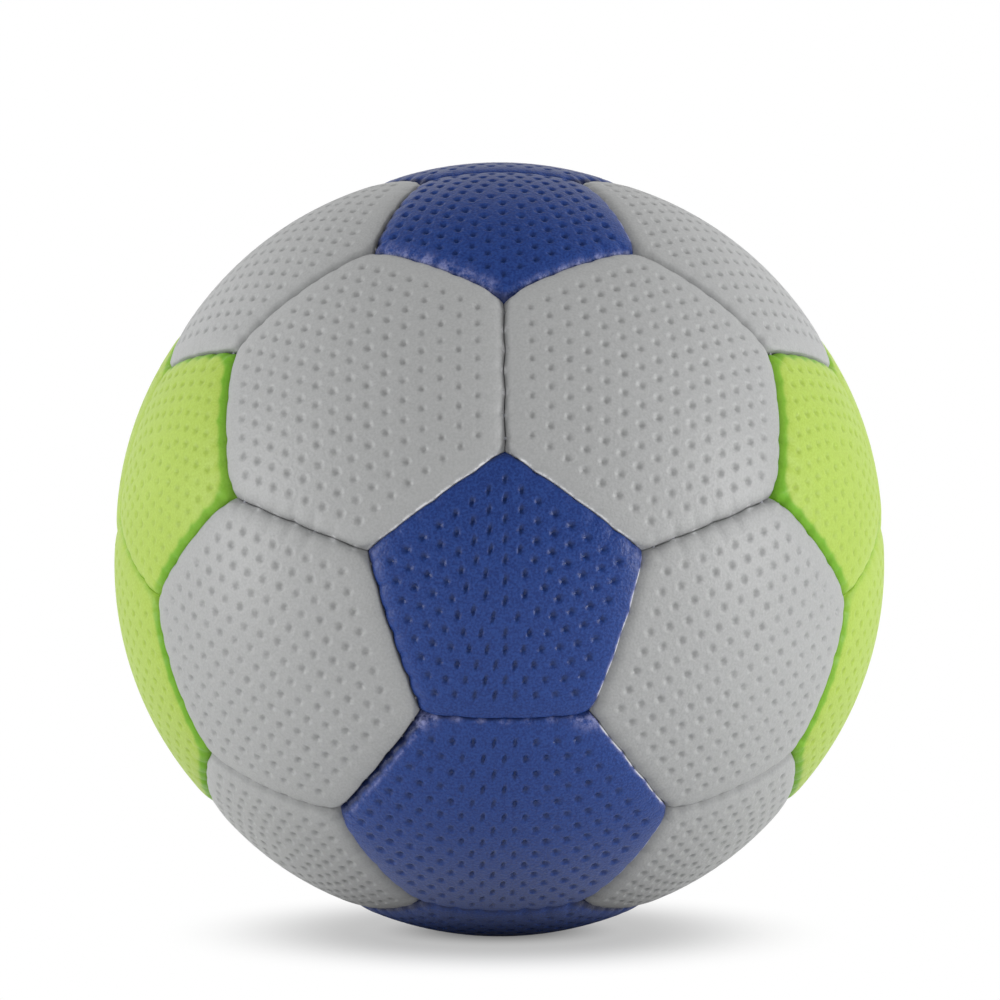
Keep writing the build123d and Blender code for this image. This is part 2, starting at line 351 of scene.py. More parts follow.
# Angle along the nearest seam, measured from its middle
def seamAngle(grid, directions):
    slope = seamSlope[grid["shape"]]
    turn = seamTurn(grid["shape"], grid["sector"])
    along = directions[:, 1] * np.cos(turn) - directions[:, 0] * np.sin(turn)
    ahead = directions[:, 0] * np.cos(turn) + directions[:, 1] * np.sin(turn)
    return np.arctan2(along, ahead * math.sin(slope) + directions[:, 2] * math.cos(slope))


# What every panel of a shape has in common: the crown with its pits, a parabola that puffs the
# panel and a quarter ellipse that rolls it into the seam, and how far stitches reach. The distance
# to the seams is a smooth minimum, which rounds the corners.
def panelTemplate(shape, hole=0.0, crease=None, axes=None):
    detail = panelDetail
    grid = panelGrid(shape)
    if hole:
        grid = holedGrid(grid, hole)
    directions = gnomonic(grid)
    distances = seamDistances(shape, directions)
    soft = detail["cornerSoftness"]
    rim = -np.log(np.exp(-soft * distances).sum(axis=1)) / soft
    puff = np.clip(1 - rim / detail["puffWidth"], 0, 1)
    roll = np.clip(1 - rim / detail["rollWidth"], 0, 1)
    pits, ridges = pitField(grid, crease, axes)
    level = crownRadius(shape, directions) - detail["cornerPit"] * np.maximum(-rim, 0)
    if hole:
        level -= detail["lipDepth"] * np.exp(-(grid["arc"] - hole) / detail["lipReach"])
        clear = grid["arc"] > hole + detail["pitRadius"]
        pits, ridges = pits * clear, ridges * clear
    angle = seamAngle(grid, directions)
    gaps = (angle[:, None] - stitchAngles[None, :]) * radius
    inside = np.maximum(rim, 0)[:, None]
    midSeam = np.clip(1 - (2 * angle / seamSpan) ** 4, 0, 1)
    weights = np.exp(-distances / detail["blend"])
    grid.update(
        distances=distances,
        rim=rim,
        pits=pits,
        plain=level,
        moulding=detail["ridgeHeight"] * ridges - detail["pitDepth"] * pits,
        puff=detail["puffDepth"] * puff ** 2,
        roll=detail["rollDepth"] * (1 - np.sqrt(1 - roll ** 2)),
        puckers=np.exp(-(gaps / detail["puckerWidth"]) ** 2 - inside / detail["puckerReach"]),
        sways=np.exp(-(gaps / detail["swayWidth"]) ** 2 - inside / detail["swayReach"]),
        stitched=np.exp(-(gaps / detail["puckerWidth"]) ** 2).sum(axis=1),
        laps=midSeam * np.exp(-inside[:, 0] / detail["swayReach"]),
        edgeWeights=weights / weights.sum(axis=1, keepdims=True),
    )
    return grid


templates = {shape: panelTemplate(shape) for shape in sideCount}
ownTemplates = {valvePanel: panelTemplate(panels[valvePanel]["shape"], ball["valveHole"])}
for name, crease in creasedPanels.items():
    axes = panelAxes(panels[name]["centre"])
    ownTemplates[name] = panelTemplate(panels[name]["shape"], crease=crease, axes=axes)
print("panel grids:", {shape: len(t["triangles"]) for shape, t in templates.items()}, "triangles")


# The underside of a panel, in mm: its flange, the wall behind it, and the pocket for the foam, with
# rings at a share of the way to the edge and a height above the pocket's rim
underside = dict(
    flange=1.25,
    wallTop=83.3,
    wallWidth=0.4,
    shoulder=3.2,
    shoulderDrop=0.4,
    pocketRings=((0.7, 0.2), (0.35, 0.5)),
)


# Rings that follow a panel's edge down the seam, in under the flange, up its inner wall and across
# the pocket, to be closed by a middle point
def undersideRings(template, edgeRadius):
    shape = template["shape"]
    slope = seamSlope[shape]
    edge = {key: template[key][template["edge"]] for key in ("sector", "rise", "along")}
    edge["shape"] = shape
    flange = math.tan(slope - underside["flange"] / radius) / math.tan(slope)
    shoulder = math.tan(slope - underside["shoulder"] / radius) / math.tan(slope)
    end = ball["flangeEnd"]
    pocket = radius - ball["skin"] - ball["seamDrop"]
    steps = [(1, None), (1, end), (flange, end), (flange, underside["wallTop"]),
             (shoulder, pocket - underside["shoulderDrop"])]
    steps += [(share, pocket + rise) for share, rise in underside["pocketRings"]]
    rings = []
    for scale, level in steps:
        ringRadius = (edgeRadius + end) / 2 if level is None else np.full_like(edgeRadius, level)
        rings.append(gnomonic(edge, scale) * ringRadius[:, None])
    return rings


# The underside of the panel with the hole, on the same grid: low under the flange, then up a
# steep wall to the pocket
def holedUnderside(template):
    directions = gnomonic(template)
    pocket = crownRadius(template["shape"], directions) - ball["skin"]
    climb = np.clip((template["rim"] - underside["flange"]) / underside["wallWidth"], 0, 1)
    level = ball["flangeEnd"] + (pocket - ball["flangeEnd"]) * climb
    return directions * level[:, None]


# Names of the neighbours of a panel across each of its seams
def neighbours(name, axes):
    shape = panels[name]["shape"]
    turns = seamTurn(shape, np.arange(sideCount[shape]))
    slope = seamSlope[shape]
    middles = np.stack([math.sin(slope) * np.cos(turns), math.sin(slope) * np.sin(turns),
                        np.full(len(turns), math.cos(slope))], axis=-1) @ axes
    dots = panelCentres @ middles.T
    dots[panelNames.index(name)] = -1
    return [panelNames[index] for index in np.argmax(dots, axis=0)]


# How an edge turns into its seam, as shares of the usual sizes, a lap in mm, and the painted
# shade on its flank: strength, width and softness in mm, and how far the stitches break it into
# dashes. The grey panels lie over the edges of the coloured ones.
edgeTraits = ("puff", "roll", "pucker", "sway", "lap", "shade", "flank", "soft", "dash")
edgeTable = dict(
    over=(0.55, 0.3, 0.3, 0.5, 0.25, 0.3, 0.0, 0.5, 0.0),
    under=(1.0, 1.1, 1.7, 0.4, -0.25, 1.0, 1.2, 1.0, 0.0),
    tucked=(0.9, 0.8, 1.3, 0.6, -0.25, 0.7, 0.25, 0.7, 0.0),
    below=(0.8, 0.45, 0.6, 0.7, -0.2, 0.45, 0.2, 2.8, 0.0),
    level=(1.0, 0.9, 1.1, 0.9, 0.0, 0.6, 0.0, 1.5, 0.2),
    deep=(0.8, 0.6, 1.2, 0.6, 0.0, 1.0, 0.2, 1.1, 0.8),
    faint=(0.8, 0.45, 0.6, 0.6, 0.0, 0.4, 0.1, 1.2, 0.3),
    dashed=(0.7, 0.5, 1.2, 0.6, -0.15, 0.9, 0.2, 0.8, 0.7),
    flushOver=(0.5, 0.2, 0.3, 0.6, 0.15, 0.0, 0.0, 0.5, 0.0),
    flushUnder=(0.6, 0.45, 0.6, 0.6, -0.15, 0.3, 0.2, 0.8, 0.0),
    softOver=(0.6, 0.3, 0.3, 0.4, 0.2, 0.5, 0.0, 0.5, 0.6),
    softUnder=(1.1, 0.8, 0.5, 0.4, -0.2, 0.5, 0.6, 1.6, 0.0),
)
edgeStyles = {label: dict(zip(edgeTraits, sizes)) for label, sizes in edgeTable.items()}

# Seams that differ from the rule: two panels and the styles of their edges
seamExceptions = [
    ("blue_pentagon_front", "blue_hexagon_lower_front", "flushOver", "dashed"),
    ("blue_pentagon_front", "grey_hexagon_right_front", "over", "below"),
    ("blue_pentagon_front", "grey_hexagon_left_front", "tucked", "over"),
    ("blue_pentagon_front", "grey_hexagon_left_upper_front", "flushUnder", "flushOver"),
    ("blue_pentagon_front", "grey_hexagon_right_upper_front", "flushUnder", "flushOver"),
    ("blue_pentagon_upper_front", "grey_hexagon_right_top", "over", "below"),
    ("blue_pentagon_upper_front", "grey_hexagon_left_upper_front", "tucked", "over"),
    ("blue_pentagon_upper_front", "grey_hexagon_right_upper_front", "tucked", "over"),
    ("blue_hexagon_lower_front", "grey_hexagon_right_front", "over", "below"),
    ("blue_hexagon_lower_front", "grey_pentagon_right_lower_front", "over", "below"),
    ("blue_hexagon_lower_front", "grey_pentagon_left_lower_front", "over", "below"),
    ("grey_hexagon_left_upper_front", "grey_hexagon_left_top", "softOver", "softUnder"),
    ("grey_hexagon_right_upper_front", "grey_hexagon_right_top", "softOver", "softUnder"),
    ("grey_hexagon_left_front", "grey_pentagon_left_lower_front", "softOver", "softUnder"),
    ("grey_hexagon_right_front", "grey_pentagon_right_lower_front", "softOver", "softUnder"),
]
seamStyles = {}
for one, other, oneStyle, otherStyle in seamExceptions:
    seamStyles[one, other] = oneStyle
    seamStyles[other, one] = otherStyle


# The style of a panel's edge beside a neighbour
def edgeStyle(name, other):
    grey, otherGrey = panels[name]["finish"] == "grey", panels[other]["finish"] == "grey"
    usual = "over" if grey else "under"
    if grey == otherGrey:
        usual = "level" if grey else "deep"
    if panels[name]["finish"] == panels[other]["finish"] == "green":
        usual = "faint"
    return seamStyles.get((name, other), usual)


# Pale edges, by panel and neighbour: wear and crumbs at the stitches, and painted sheen and
# highlight on rolled edges and crests: amount, distance from the seam and width in mm, and how
# far the pale keeps to the stitches instead of the stretches between them
# Pale lines at the very edge: the cut edge's pale backing, with painted highlight on it
cutAndHighlightLine, thinCutAndHighlightLine = (2.6, 0.0, 0.35, 0), (2.0, 0.0, 0.3, 0)
edgeWearAndSheen = dict(
    blue_pentagon_upper_front=dict(
        # painted sheen with wear along the two lower edges
        grey_hexagon_left_upper_front=(0.65, 0.9, 1.7, 0),
        grey_hexagon_right_upper_front=(0.7, 0.5, 0.8, 0),
        grey_hexagon_right_top=(1.4, 0.0, 0.45, 0),
    ),
    blue_pentagon_front=dict(
        grey_hexagon_right_front=cutAndHighlightLine,
        # painted sheen on the crest of the rolled edge
        grey_hexagon_left_front=(0.06, 2.0, 0.9, 0),
    ),
    blue_hexagon_lower_front=dict(
        # painted highlight along the ridge beside the flank
        grey_hexagon_left_front=(0.55, 2.2, 0.4, 0),
        grey_hexagon_right_front=cutAndHighlightLine,
        grey_pentagon_right_lower_front=cutAndHighlightLine,
        grey_pentagon_left_lower_front=(1.4, 0.0, 0.25, 0),
        blue_pentagon_front=(0.6, 0.8, 0.5, 1),
    ),
    grey_hexagon_left_upper_front=dict(blue_pentagon_front=thinCutAndHighlightLine),
    grey_hexagon_right_upper_front=dict(blue_pentagon_front=thinCutAndHighlightLine),
)
usualWearAndSheen = dict(level=(0.45, 0.3, 0.4, 1), other=(0, 0, 1, 0))
wearAndSheenForm = dict(stitchLoss=0.6, cornerFade=4.0, cornerInset=1.5)

# Painted sheen on corners: panel, the neighbours on both sides of the corner, amount and reach in mm
cornerSheen = [
    ("blue_hexagon_lower_front", "blue_pentagon_front", "grey_hexagon_left_front", 0.65, 2.1),
    ("blue_hexagon_lower_front", "blue_pentagon_front", "grey_hexagon_right_front", 0.65, 2.1),
    ("blue_pentagon_front", "grey_hexagon_left_upper_front", "grey_hexagon_left_front", 0.15, 3.0),
    ("blue_pentagon_front", "grey_hexagon_right_upper_front", "grey_hexagon_right_front", 0.2, 3.0),
]


# How far each stitch of a seam dips and draws to one side, the same seen from both panels
def stitchDraws(name, other):
    here, there = panelNames.index(name), panelNames.index(other)
    draw = np.random.default_rng(100 * min(here, there) + max(here, there))
    dips = panelDetail["puckerDepth"] * draw.uniform(*panelDetail["puckerSpread"], ball["stitches"])
    turns = (-1.0) ** np.arange(ball["stitches"])
    sways = panelDetail["swayDepth"] * turns * draw.uniform(*panelDetail["swaySpread"], ball["stitches"])
    return (dips, sways) if here < there else (dips[::-1], -sways[::-1])


# Share of pale wear and painted sheen: a bell across each edge, weaker at the stitches or only
# there, fading towards the corners, and a round bell of painted sheen at each listed corner
def wearAndSheenField(template, name, beside):
    wearAndSheenRows = []
    for other in beside:
        usual = usualWearAndSheen["level" if edgeStyle(name, other) == "level" else "other"]
        wearAndSheenRows.append(edgeWearAndSheen.get(name, {}).get(other, usual))
    amount, at, width, sewn = np.array(wearAndSheenRows)[template["sector"]].T
    distances = np.sort(template["distances"], axis=1)
    stitched = np.minimum(template["stitched"], 1)
    bell = np.exp(-((distances[:, 0] - at) / width) ** 2)
    between = 1 - wearAndSheenForm["stitchLoss"] * stitched
    field = amount * bell * (sewn * stitched + (1 - sewn) * between)
    field *= np.clip(distances[:, 1] / wearAndSheenForm["cornerFade"], 0, 1)
    inset = wearAndSheenForm["cornerInset"]
    for panel, oneSide, otherSide, share, reach in cornerSheen:
        if panel == name:
            one, two = (template["distances"][:, beside.index(side)] for side in (oneSide, otherSide))
            field += share * np.exp(-((one - inset) ** 2 + (two - inset) ** 2) / reach ** 2)
    return field


# One cover panel as a closed shell with the puckers of its own seams
def coverPanel(name):
    finish, shape, centre = (panels[name][key] for key in ("finish", "shape", "centre"))
    template = ownTemplates.get(name, templates[shape])
    axes = panelAxes(centre)
    beside = neighbours(name, axes)
    sector = template["sector"]
    styles = [edgeStyles[edgeStyle(name, other)] for other in beside]
    puff, roll, pucker, shade, flank, soft, dash = (
        template["edgeWeights"] @ [style[key] for style in styles]
        for key in ("puff", "roll", "pucker", "shade", "flank", "soft", "dash"))
    swayShare, lap = (np.array([style[key] for style in styles])[sector] for key in ("sway", "lap"))
    draws = np.array([stitchDraws(name, other) for other in beside])[sector]
    surface = template["plain"] + pitShares[finish] * template["moulding"]
    surface -= puff * template["puff"] + roll * template["roll"]
    surface -= pucker * (template["puckers"] * draws[:, 0]).sum(axis=1)
    sway = swayShare * (template["sways"] * draws[:, 1]).sum(axis=1) + lap * template["laps"]
    swayed = dict(template, rise=template["rise"] + sway / radius * (1 + template["rise"] ** 2))
    top = gnomonic(swayed) * surface[:, None]
    triangles = [template["triangles"]]
    # Pale wear and painted sheen along the edges and corners
    wearAndSheen = wearAndSheenField(template, name, beside)
    stitched = np.minimum(template["stitched"], 1)
    # Painted shade on each edge's flank, darker towards the seam and broken into dashes by the stitches
    flank = flankShadeShares[finish] * (flank + panelDetail["scallop"] * np.minimum(flank, 1) * stitched)
    paintedShade = shade * (1 - dash * stitched) * ease((flank + soft - template["rim"]) / soft)
    if name == valvePanel:
        under = holedUnderside(swayed)
        triangles.append(template["triangles"][:, ::-1] + len(top))
        triangles.append(stripTriangles(np.stack([template["edge"], template["edge"] + len(top)])))
        triangles.append(stripTriangles(np.stack([template["lip"] + len(top), template["lip"]])))
    else:
        rings = undersideRings(swayed, surface[template["edge"]])
        count = len(template["edge"])
        firstRing = len(top) + count * np.arange(len(rings))
        numbers = np.vstack([template["edge"]] + [start + np.arange(count) for start in firstRing])
        pole = len(top) + count * len(rings)
        last = numbers[-1]
        triangles.append(stripTriangles(numbers))
        triangles.append(np.stack([last, np.full(count, pole), np.roll(last, -1)], axis=-1))
        under = np.vstack(rings + [np.array([[0, 0, radius - ball["skin"]]])])
    points = np.vstack([top, under]) @ axes * mm
    spare = np.zeros(len(under))
    wall = spare.copy()
    if name != valvePanel:
        wall[:count] = wearAndSheen[template["edge"]]
    return meshPiece(name, points, np.concatenate(triangles), dict(
        paintedSeamShade=np.concatenate([paintedShade, spare + 1]),
        pit=np.concatenate([template["pits"], spare]),
        wearAndSheen=np.concatenate([wearAndSheen, wall]),
    ))


coverPieces = {}
for name in panels:
    piece = coverPanel(name)
    piece.name = "panel_" + name
    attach(piece, "ball")
    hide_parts(name)
    coverPieces[name] = piece
print("cover panels:", len(coverPieces))


# sRGB bytes as written on a colour card, to linear
def paint(red, green, blue):
    share = np.array([red, green, blue]) / 255
    linear = np.where(share <= 0.04045, share / 12.92, ((share + 0.055) / 1.055) ** 2.4)
    return (*linear.tolist(), 1.0)


# Sets or links a node's inputs, which are named (From_Min) or numbered (i0)
def setInputs(tree, node, **inputs):
    for key, value in inputs.items():
        numbered = key[0] == "i" and key[1:].isdigit()
        socket = node.inputs[int(key[1:]) if numbered else key.replace("_", " ")]
        if hasattr(value, "is_output"):
            tree.links.new(value, socket)
        else:
            socket.default_value = value
    return node


def addNode(tree, kind, settings=(), **inputs):
    node = tree.nodes.new(kind)
    for key, value in dict(settings).items():
        setattr(node, key, value)
    return setInputs(tree, node, **inputs)


def maths(tree, operation, *values, clamp=False):
    inputs = {f"i{index}": value for index, value in enumerate(values)}
    return addNode(tree, "ShaderNodeMath", dict(operation=operation, use_clamp=clamp), **inputs).outputs[0]


def mixColour(tree, share, one, other):
    return addNode(tree, "ShaderNodeMix", dict(data_type="RGBA"), i0=share, i6=one, i7=other).outputs[2]


# Eases a value from one range to another, clamped
def remap(tree, value, fromLow, fromHigh, toLow=0.0, toHigh=1.0):
    return addNode(tree, "ShaderNodeMapRange", dict(interpolation_type="SMOOTHSTEP"), Value=value,
                   From_Min=fromLow, From_Max=fromHigh, To_Min=toLow, To_Max=toHigh).outputs[0]


# A new node group with inputs and outputs given by name and kind
def newGroup(name, inputs, outputs):
    tree = bpy.data.node_groups.new(name, "ShaderNodeTree")
    for way, sockets in (("INPUT", inputs), ("OUTPUT", outputs)):
        for label, kind in sockets.items():
            tree.interface.new_socket(label, in_out=way, socket_type="NodeSocket" + kind)
    return tree, tree.nodes.new("NodeGroupInput"), tree.nodes.new("NodeGroupOutput")


# Scales of the leather's grain, features to a metre, and the ranges that make flecks and blotches
grainForm = dict(
    cell=1500.0,
    cellShare=0.5,
    fleck=2000.0,
    fleckRange=(0.3, 0.7),
    cloud=38.0,
    blotch=650.0,
    blotchRange=(0.36, 0.66),
)


# Leather grain: fine cells and a finer noise for the bump, flecks, clouds and blotches for the colour
def makeGrainGroup():
    tree, given, out = newGroup(
        "leatherGrain",
        dict(Place="Vector", Cell="Float", Fleck="Float"),
        dict(Height="Float", Flecks="Float", Cloud="Float", Blotch="Float"))
    place = given.outputs["Place"]
    cells = addNode(tree, "ShaderNodeTexVoronoi", Vector=place, Scale=given.outputs["Cell"])
    fine = addNode(tree, "ShaderNodeTexNoise", Vector=place, Scale=given.outputs["Fleck"], Detail=3.0)
    cellHeight = maths(tree, "MULTIPLY", cells.outputs["Distance"], grainForm["cellShare"])
    cloud = addNode(tree, "ShaderNodeTexNoise", Vector=place, Scale=grainForm["cloud"], Detail=2.0)
    blotch = addNode(tree, "ShaderNodeTexNoise", Vector=place, Scale=grainForm["blotch"], Detail=4.0,
                     Roughness=0.7)
    setInputs(
        tree, out,
        Height=maths(tree, "ADD", cellHeight, fine.outputs[0]),
        Flecks=remap(tree, fine.outputs[0], *grainForm["fleckRange"]),
        Cloud=cloud.outputs[0],
        Blotch=remap(tree, blotch.outputs[0], *grainForm["blotchRange"]),
    )
    return tree


# Painted shade near a seam: a shade colour that comes in towards the edge, broken up by the grain
def makeEdgeShadeGroup():
    tree, given, out = newGroup(
        "edgeShade",
        dict(Colour="Color", Edge="Color", Tone="Float", Breakup="Float"),
        dict(Colour="Color"))
    broken = maths(tree, "ADD", 0.5, given.outputs["Breakup"])
    share = maths(tree, "MULTIPLY", broken, given.outputs["Tone"], clamp=True)
    tinted = mixColour(tree, share, given.outputs["Colour"], given.outputs["Edge"])
    setInputs(tree, out, Colour=tinted)
    return tree


grainGroup = makeGrainGroup()
edgeShadeGroup = makeEdgeShadeGroup()


def useGroup(tree, group, **inputs):
    return addNode(tree, "ShaderNodeGroup", dict(node_tree=group), **inputs)


def newMaterial(name):
    material = bpy.data.materials.new(name)
    material.use_nodes = True
    tree = material.node_tree
    return material, tree, tree.nodes["Principled BSDF"]


# The three leathers: body colour, colours of the grain, colour of the painted shade in the seam and
# of the pale wear and painted sheen on edges, then how strong the seam's painted shade and the pits'
# painted shade and polish are, and the surface
leathers = dict(
    blue=dict(
        body=(25, 57, 132), low=(14, 42, 108), high=(48, 86, 162), seam=(11, 23, 64), wearAndSheen=(134, 140, 190),
        seamShadeShare=0.85, pitShade=0.65, pitPolish=0.15, flecks=0.45, rough=0.42, gloss=0.34, bump=0.3,
    ),
    green=dict(
        body=(180, 208, 86), low=(166, 193, 68), high=(192, 220, 104), seam=(108, 178, 30),
        wearAndSheen=(210, 226, 160),
        seamShadeShare=0.75, pitShade=0.25, pitPolish=0.04, flecks=0.32, rough=0.46, gloss=0.3, bump=0.2,
    ),
    grey=dict(
        body=(178, 179, 179), low=(168, 169, 169), high=(190, 191, 191), seam=(112, 113, 114),
        wearAndSheen=(240, 241, 242),
        seamShadeShare=0.7, pitShade=0.15, pitPolish=0.1, flecks=0.4, rough=0.45, gloss=0.42, bump=0.2,
    ),
)
leatherForm = dict(
    cloudTone=0.9,  # darkest clouds, as a share of the body colour
    cloudShare=0.5,
    pitTone=0.7,
    blotches=1.5,  # how far the grain breaks up the wear and painted sheen
    cutBackingAndHighlight=(226, 227, 230),  # the pale backing that shows where an edge is cut, with painted highlight on the edge
    cutBackingAndHighlightShare=0.9,
    roughSpread=0.12,
    bumpDepth=0.0004,
)


def makeLeather(finish):
    look = leathers[finish]
    material, tree, shader = newMaterial(finish + "Leather")
    place = addNode(tree, "ShaderNodeTexCoord").outputs["Object"]
    pit, wearAndSheen, paintedShade = (addNode(tree, "ShaderNodeAttribute", dict(attribute_name=label)).outputs["Fac"]
                        for label in ("pit", "wearAndSheen", "paintedSeamShade"))
    # Painted shade in the seams
    shaded = maths(tree, "MULTIPLY", paintedShade, look["seamShadeShare"])
    grain = useGroup(tree, grainGroup, Place=place, Cell=grainForm["cell"], Fleck=grainForm["fleck"])
    grained = mixColour(tree, grain.outputs["Flecks"], paint(*look["low"]), paint(*look["high"]))
    body = paint(*look["body"])
    dark = paint(*[leatherForm["cloudTone"] * part for part in look["body"]])
    pitTone = paint(*[leatherForm["pitTone"] * part for part in look["body"]])
    cloudShare = maths(tree, "MULTIPLY", grain.outputs["Cloud"], leatherForm["cloudShare"])
    clouded = mixColour(tree, cloudShare, body, dark)
    mottled = mixColour(tree, look["flecks"], clouded, grained)
    # Painted shade in the pits
    pitted = mixColour(tree, maths(tree, "MULTIPLY", pit, look["pitShade"]), mottled, pitTone)
    seamShaded = useGroup(tree, edgeShadeGroup, Colour=pitted, Edge=paint(*look["seam"]), Tone=shaded,
                      Breakup=grain.outputs["Cloud"])
    blotches = maths(tree, "MULTIPLY", grain.outputs["Blotch"], leatherForm["blotches"])
    # Pale wear and painted sheen, broken up by the grain
    wornAndSheenShare = maths(tree, "MULTIPLY", wearAndSheen, blotches, clamp=True)
    paled = mixColour(tree, wornAndSheenShare, seamShaded.outputs[0], paint(*look["wearAndSheen"]))
    # Past a share of 1 the edge turns to the pale cut backing with painted highlight
    bare = maths(tree, "SUBTRACT", wearAndSheen, 1.0, clamp=True)
    cutAndHighlight = maths(tree, "MULTIPLY", bare, leatherForm["cutBackingAndHighlightShare"])
    trimmed = mixColour(tree, cutAndHighlight, paled, paint(*leatherForm["cutBackingAndHighlight"]))
    bump = addNode(tree, "ShaderNodeBump", Strength=look["bump"], Distance=leatherForm["bumpDepth"],
                   Height=grain.outputs["Height"])
    spread = leatherForm["roughSpread"]
    cloudRough = maths(tree, "MULTIPLY", grain.outputs["Cloud"], spread)
    rough = maths(tree, "ADD", look["rough"] - spread / 2, cloudRough)
    smoothed = maths(tree, "SUBTRACT", rough, maths(tree, "MULTIPLY", pit, look["pitPolish"]))
    setInputs(tree, shader, Base_Color=trimmed, Normal=bump.outputs[0], Roughness=smoothed,
              Specular_IOR_Level=look["gloss"])
    return material


leatherMaterials = {finish: makeLeather(finish) for finish in leathers}
for name, piece in coverPieces.items():
    piece.data.materials.append(leatherMaterials[panels[name]["finish"]])
print("leathers:", ", ".join(leatherMaterials))


# The sewing thread: one strand to a seam, which crosses the seam at each stitch and runs on
# behind the turned-in edges to the next
threadForm = dict(
    width=0.34,
    crossRadius=84.25,  # how far out it crosses the seam
    across=1.55,
    sides=6,
    pointsPerStitch=12,
    crossShare=0.45,  # the part of a step that crosses
    colours=((138, 140, 150), (184, 186, 192)),
    lay=1400.0,  # scale of its twist
    rough=0.6,
)


# Centre line of a strand: in the first part of each step it swings from one side to the other
# and up to the surface (a half sine), in the rest it runs on to the next stitch
def threadLine(starts, ends):
    form = threadForm
    count = ball["stitches"]
    parts = np.linspace(0, count - 1 + form["crossShare"], form["pointsPerStitch"] * count)
    step = np.minimum(np.floor(parts), count - 1)
    share = parts - step
    cross = share / form["crossShare"]
    side = np.where(step % 2 == 0, 1, -1)
    across = form["across"] * side * (1 - 2 * ease(cross))
    pitch = stitchReach / (count - 1)
    run = ease((share - form["crossShare"]) / (1 - form["crossShare"]))
    angle = pitch * (step + run) - stitchReach / 2
    lift = form["crossRadius"] - ball["stitchRadius"]
    level = ball["stitchRadius"] + lift * np.sin(math.pi * np.clip(cross, 0, 1))
    middles = unit(starts + ends)[:, None, :]
    along = unit(ends - starts)[:, None, :]
    sideways = np.cross(middles, along)
    outward = middles * np.cos(angle)[None, :, None] + along * np.sin(angle)[None, :, None]
    return outward * level[None, :, None] + sideways * across[None, :, None], outward


# A closed round tube about each centre line
def threadTubes(name, starts, ends):
    form = threadForm
    line, outward = threadLine(starts, ends)
    tangent = unit(np.gradient(line, axis=1))
    sideways = unit(np.cross(tangent, outward))
    upright = np.cross(sideways, tangent)
    turns = np.arange(form["sides"]) * 2 * math.pi / form["sides"]
    ring = sideways[:, :, None, :] * np.cos(turns)[:, None]
    ring = ring + upright[:, :, None, :] * np.sin(turns)[:, None]
    points = line[:, :, None, :] + form["width"] * ring
    seams, length, sides = points.shape[:3]
    ends = np.stack([line[:, 0], line[:, -1]], axis=1)
    numbers = np.arange(seams * length * sides).reshape(seams, length, sides)
    caps = seams * length * sides + np.arange(seams * 2).reshape(seams, 2)
    here, ahead = numbers[:, :-1], numbers[:, 1:]
    hereNext, aheadNext = np.roll(here, -1, axis=2), np.roll(ahead, -1, axis=2)
    triangles = [
        np.stack([here, hereNext, ahead], axis=-1).reshape(-1, 3),
        np.stack([hereNext, aheadNext, ahead], axis=-1).reshape(-1, 3),
    ]
    for end, order in ((0, 1), (-1, -1)):
        rim = numbers[:, end]
        middle = np.broadcast_to(caps[:, end][:, None], rim.shape)
        triangles.append(np.stack([np.roll(rim, -1, axis=1), rim, middle][::order], axis=-1).reshape(-1, 3))
    everything = np.concatenate([points.reshape(-1, 3), ends.reshape(-1, 3)])
    return meshPiece(name, everything * mm, np.concatenate(triangles))


def makeThreadMaterial():
    material, tree, shader = newMaterial("waxedThread")
    place = addNode(tree, "ShaderNodeTexCoord").outputs["Object"]
    lay = addNode(tree, "ShaderNodeTexWave", Vector=place, Scale=threadForm["lay"], Distortion=1.5)
    colour = mixColour(tree, lay.outputs["Fac"], *(paint(*shade) for shade in threadForm["colours"]))
    bump = addNode(tree, "ShaderNodeBump", Strength=0.3, Distance=0.0002, Height=lay.outputs["Fac"])
    setInputs(tree, shader, Base_Color=colour, Normal=bump.outputs[0], Roughness=threadForm["rough"])
    return material


threadMaterial = makeThreadMaterial()
nearestPentagon = (seamMiddles @ pentagonCentres.T).max(axis=1)
besidePentagon = nearestPentagon > nearestPentagon.max() - 1e-6
for node, chosen in (("pentagon_seams_thread", besidePentagon), ("hexagon_seams_thread", ~besidePentagon)):
    piece = threadTubes("stitches_" + node, seamStarts[chosen], seamEnds[chosen])
    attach(piece, "ball")
    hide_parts(node)
    piece.data.materials.append(threadMaterial)
print("thread:", int(besidePentagon.sum()), "and", int((~besidePentagon).sum()), "seams")


# Rubber, foam and cloth of the CAD nodes that stay
insideLooks = dict(
    bladder=dict(colours=((38, 38, 40), (54, 54, 56)), scale=220.0, rough=0.6, bump=0.15),
    valve=dict(colours=((30, 36, 58), (44, 50, 76)), scale=600.0, rough=0.45, bump=0.1),
    foam=dict(colours=((206, 200, 184), (232, 228, 214)), scale=1400.0, rough=0.9, bump=0.5),
    lining=dict(colours=((222, 220, 212), (242, 240, 234)), scale=1800.0, rough=0.9, bump=0.4),
)


def makeInsideMaterial(label):
    look = insideLooks[label]
    material, tree, shader = newMaterial(label + "Finish")
    place = addNode(tree, "ShaderNodeTexCoord").outputs["Object"]
    speckle = addNode(tree, "ShaderNodeTexNoise", Vector=place, Scale=look["scale"], Detail=4.0)
    colour = mixColour(tree, speckle.outputs[0], *(paint(*shade) for shade in look["colours"]))
    bump = addNode(tree, "ShaderNodeBump", Strength=look["bump"], Distance=0.0003,
                   Height=speckle.outputs[0])
    setInputs(tree, shader, Base_Color=colour, Normal=bump.outputs[0], Roughness=look["rough"])
    return material


